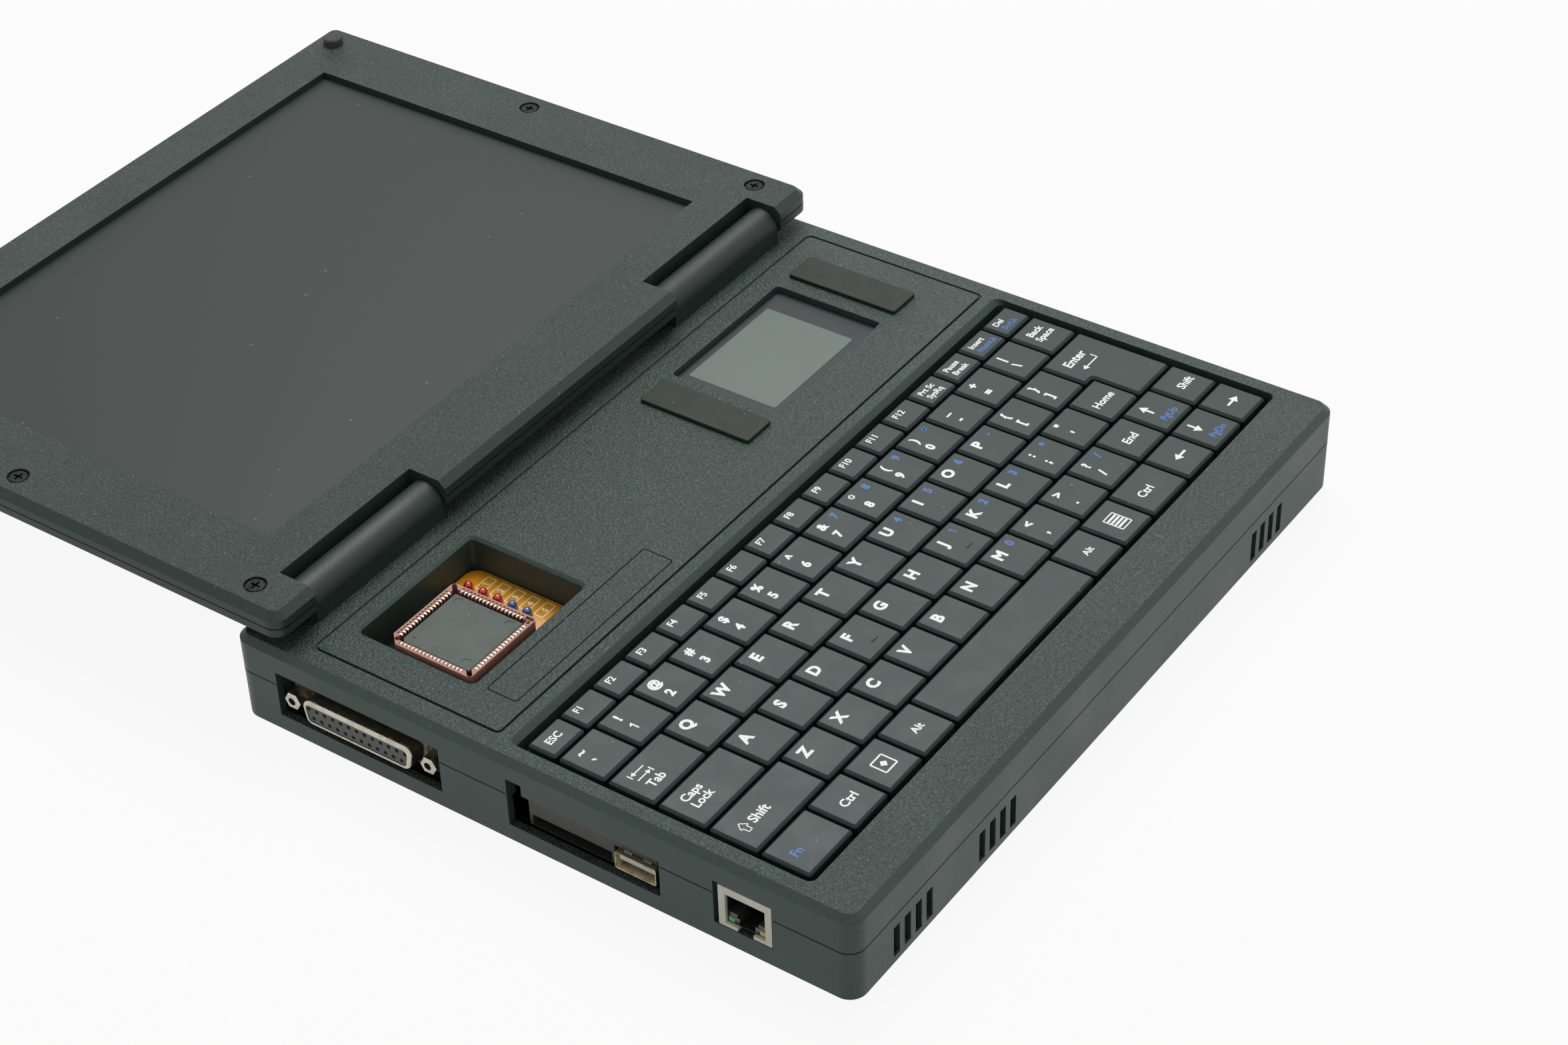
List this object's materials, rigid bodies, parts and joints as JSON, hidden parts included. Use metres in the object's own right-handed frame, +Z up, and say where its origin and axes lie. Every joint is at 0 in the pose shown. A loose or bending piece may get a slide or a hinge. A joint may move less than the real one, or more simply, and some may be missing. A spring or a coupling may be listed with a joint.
{
  "type": "mini laptop",
  "caption": "Charcoal mini laptop whose thick base has an open well for a socketed chip beside the touch pad, side ports, a full keyboard and a lid on two barrel hinges that opens flat.",
  "frame": {"origin": "centre of the base's flat underside, without the lid", "axes": "+X to the user's right, +Y from the front edge towards the hinge, +Z up; the lid is drawn open flat towards +Y"},
  "size_m": [0.2515, 0.3766, 0.0447],
  "materials": {
    "case": "grained charcoal plastic",
    "key_plastic": "smooth dark grey",
    "button": "smooth brown-grey",
    "pad": "smooth grey film",
    "rubber": "matte",
    "steel": "blackened",
    "nickel": "nickel plated",
    "jack_plastic": "cream, smooth",
    "black_plastic": "smooth",
    "circuit_board": "solder mask",
    "yellow_board": "yellow solder mask",
    "battery_wrap": "shrink wrap",
    "lamp": "tinted lens",
    "socket_plastic": "pinkish brown",
    "contact_metal": "tinned",
    "chip_plastic": "moulded grey",
    "screen": "dark anti-glare film"
  },
  "bodies": {
    "base": {"bottom_case": "case", "top_case": "case", "access_plate": "case", "rubber_feet": "rubber", "case_screws": "steel", "main_board": "circuit_board", "battery_pack": "battery_wrap", "indicator_board": "yellow_board", "indicator_lamps": "lamp", "processor_socket": "socket_plastic", "socket_contacts": "contact_metal", "processor_chip": "chip_plastic", "touch_pad": "pad", "parallel_port_shell": "nickel", "parallel_port_insert": "black_plastic", "jackscrews": "nickel", "network_jack": "jack_plastic", "network_lamps": "lamp", "usb_shell": "nickel", "usb_tongue": "jack_plastic", "card_slot": "black_plastic", "keyboard_plate": "steel", "key_membrane": "black_plastic", "hinge_housing_left": "case", "hinge_housing_right": "case"},
    "lid": {"lid_bezel": "case", "lid_back": "case", "display_panel": "screen", "lid_screws": "steel", "lid_bumpers": "rubber", "hinge_leaves": "steel"},
    "pad_button_left": {"pad_button_left": "button"},
    "pad_button_right": {"pad_button_right": "button"},
    "key_escape": {"key_escape": "key_plastic"},
    "keys_function": {"keys_function": "key_plastic"},
    "keys_digits": {"keys_digits": "key_plastic"},
    "key_backspace": {"key_backspace": "key_plastic"},
    "key_tab": {"key_tab": "key_plastic"},
    "keys_upper_letters": {"keys_upper_letters": "key_plastic"},
    "key_caps_lock": {"key_caps_lock": "key_plastic"},
    "keys_middle_letters": {"keys_middle_letters": "key_plastic"},
    "key_home": {"key_home": "key_plastic"},
    "key_shift_left": {"key_shift_left": "key_plastic"},
    "keys_lower_letters": {"keys_lower_letters": "key_plastic"},
    "key_end": {"key_end": "key_plastic"},
    "key_up": {"key_up": "key_plastic"},
    "key_shift_right": {"key_shift_right": "key_plastic"},
    "key_function": {"key_function": "key_plastic"},
    "key_control_left": {"key_control_left": "key_plastic"},
    "key_command": {"key_command": "key_plastic"},
    "key_alt_left": {"key_alt_left": "key_plastic"},
    "key_space": {"key_space": "key_plastic"},
    "key_alt_right": {"key_alt_right": "key_plastic"},
    "key_menu": {"key_menu": "key_plastic"},
    "key_control_right": {"key_control_right": "key_plastic"},
    "key_left": {"key_left": "key_plastic"},
    "key_down": {"key_down": "key_plastic"},
    "key_right": {"key_right": "key_plastic"},
    "key_enter": {"key_enter": "key_plastic"}
  },
  "joints": [
    {"name": "lid_hinge", "type": "hinge", "parent": "base", "child": "lid", "pos_m": [0, 0.0884, 0.0361], "axis": [1, 0, 0], "range_deg": [0, 180]},
    {"name": "pad_button_left_press", "type": "slide", "parent": "base", "child": "pad_button_left", "axis": [0, 0, -1], "range_m": [0, 0.0005], "stiffness_N_per_m": 600, "springref_m": -0.001},
    {"name": "pad_button_right_press", "type": "slide", "parent": "base", "child": "pad_button_right", "axis": [0, 0, -1], "range_m": [0, 0.0005], "stiffness_N_per_m": 600, "springref_m": -0.001},
    {"name": "key_escape_press", "type": "slide", "parent": "base", "child": "key_escape", "axis": [0, 0, -1], "range_m": [0, 0.002], "stiffness_N_per_m": 200, "springref_m": -0.0015},
    {"name": "keys_function_press", "type": "slide", "parent": "base", "child": "keys_function", "axis": [0, 0, -1], "range_m": [0, 0.002], "stiffness_N_per_m": 200, "springref_m": -0.0015},
    {"name": "keys_digits_press", "type": "slide", "parent": "base", "child": "keys_digits", "axis": [0, 0, -1], "range_m": [0, 0.002], "stiffness_N_per_m": 200, "springref_m": -0.0015},
    {"name": "key_backspace_press", "type": "slide", "parent": "base", "child": "key_backspace", "axis": [0, 0, -1], "range_m": [0, 0.002], "stiffness_N_per_m": 200, "springref_m": -0.0015},
    {"name": "key_tab_press", "type": "slide", "parent": "base", "child": "key_tab", "axis": [0, 0, -1], "range_m": [0, 0.002], "stiffness_N_per_m": 200, "springref_m": -0.0015},
    {"name": "keys_upper_letters_press", "type": "slide", "parent": "base", "child": "keys_upper_letters", "axis": [0, 0, -1], "range_m": [0, 0.002], "stiffness_N_per_m": 200, "springref_m": -0.0015},
    {"name": "key_caps_lock_press", "type": "slide", "parent": "base", "child": "key_caps_lock", "axis": [0, 0, -1], "range_m": [0, 0.002], "stiffness_N_per_m": 200, "springref_m": -0.0015},
    {"name": "keys_middle_letters_press", "type": "slide", "parent": "base", "child": "keys_middle_letters", "axis": [0, 0, -1], "range_m": [0, 0.002], "stiffness_N_per_m": 200, "springref_m": -0.0015},
    {"name": "key_home_press", "type": "slide", "parent": "base", "child": "key_home", "axis": [0, 0, -1], "range_m": [0, 0.002], "stiffness_N_per_m": 200, "springref_m": -0.0015},
    {"name": "key_shift_left_press", "type": "slide", "parent": "base", "child": "key_shift_left", "axis": [0, 0, -1], "range_m": [0, 0.002], "stiffness_N_per_m": 200, "springref_m": -0.0015},
    {"name": "keys_lower_letters_press", "type": "slide", "parent": "base", "child": "keys_lower_letters", "axis": [0, 0, -1], "range_m": [0, 0.002], "stiffness_N_per_m": 200, "springref_m": -0.0015},
    {"name": "key_end_press", "type": "slide", "parent": "base", "child": "key_end", "axis": [0, 0, -1], "range_m": [0, 0.002], "stiffness_N_per_m": 200, "springref_m": -0.0015},
    {"name": "key_up_press", "type": "slide", "parent": "base", "child": "key_up", "axis": [0, 0, -1], "range_m": [0, 0.002], "stiffness_N_per_m": 200, "springref_m": -0.0015},
    {"name": "key_shift_right_press", "type": "slide", "parent": "base", "child": "key_shift_right", "axis": [0, 0, -1], "range_m": [0, 0.002], "stiffness_N_per_m": 200, "springref_m": -0.0015},
    {"name": "key_function_press", "type": "slide", "parent": "base", "child": "key_function", "axis": [0, 0, -1], "range_m": [0, 0.002], "stiffness_N_per_m": 200, "springref_m": -0.0015},
    {"name": "key_control_left_press", "type": "slide", "parent": "base", "child": "key_control_left", "axis": [0, 0, -1], "range_m": [0, 0.002], "stiffness_N_per_m": 200, "springref_m": -0.0015},
    {"name": "key_command_press", "type": "slide", "parent": "base", "child": "key_command", "axis": [0, 0, -1], "range_m": [0, 0.002], "stiffness_N_per_m": 200, "springref_m": -0.0015},
    {"name": "key_alt_left_press", "type": "slide", "parent": "base", "child": "key_alt_left", "axis": [0, 0, -1], "range_m": [0, 0.002], "stiffness_N_per_m": 200, "springref_m": -0.0015},
    {"name": "key_space_press", "type": "slide", "parent": "base", "child": "key_space", "axis": [0, 0, -1], "range_m": [0, 0.002], "stiffness_N_per_m": 200, "springref_m": -0.0015},
    {"name": "key_alt_right_press", "type": "slide", "parent": "base", "child": "key_alt_right", "axis": [0, 0, -1], "range_m": [0, 0.002], "stiffness_N_per_m": 200, "springref_m": -0.0015},
    {"name": "key_menu_press", "type": "slide", "parent": "base", "child": "key_menu", "axis": [0, 0, -1], "range_m": [0, 0.002], "stiffness_N_per_m": 200, "springref_m": -0.0015},
    {"name": "key_control_right_press", "type": "slide", "parent": "base", "child": "key_control_right", "axis": [0, 0, -1], "range_m": [0, 0.002], "stiffness_N_per_m": 200, "springref_m": -0.0015},
    {"name": "key_left_press", "type": "slide", "parent": "base", "child": "key_left", "axis": [0, 0, -1], "range_m": [0, 0.002], "stiffness_N_per_m": 200, "springref_m": -0.0015},
    {"name": "key_down_press", "type": "slide", "parent": "base", "child": "key_down", "axis": [0, 0, -1], "range_m": [0, 0.002], "stiffness_N_per_m": 200, "springref_m": -0.0015},
    {"name": "key_right_press", "type": "slide", "parent": "base", "child": "key_right", "axis": [0, 0, -1], "range_m": [0, 0.002], "stiffness_N_per_m": 200, "springref_m": -0.0015},
    {"name": "key_enter_press", "type": "slide", "parent": "base", "child": "key_enter", "axis": [0, 0, -1], "range_m": [0, 0.002], "stiffness_N_per_m": 200, "springref_m": -0.0015}
  ]
}
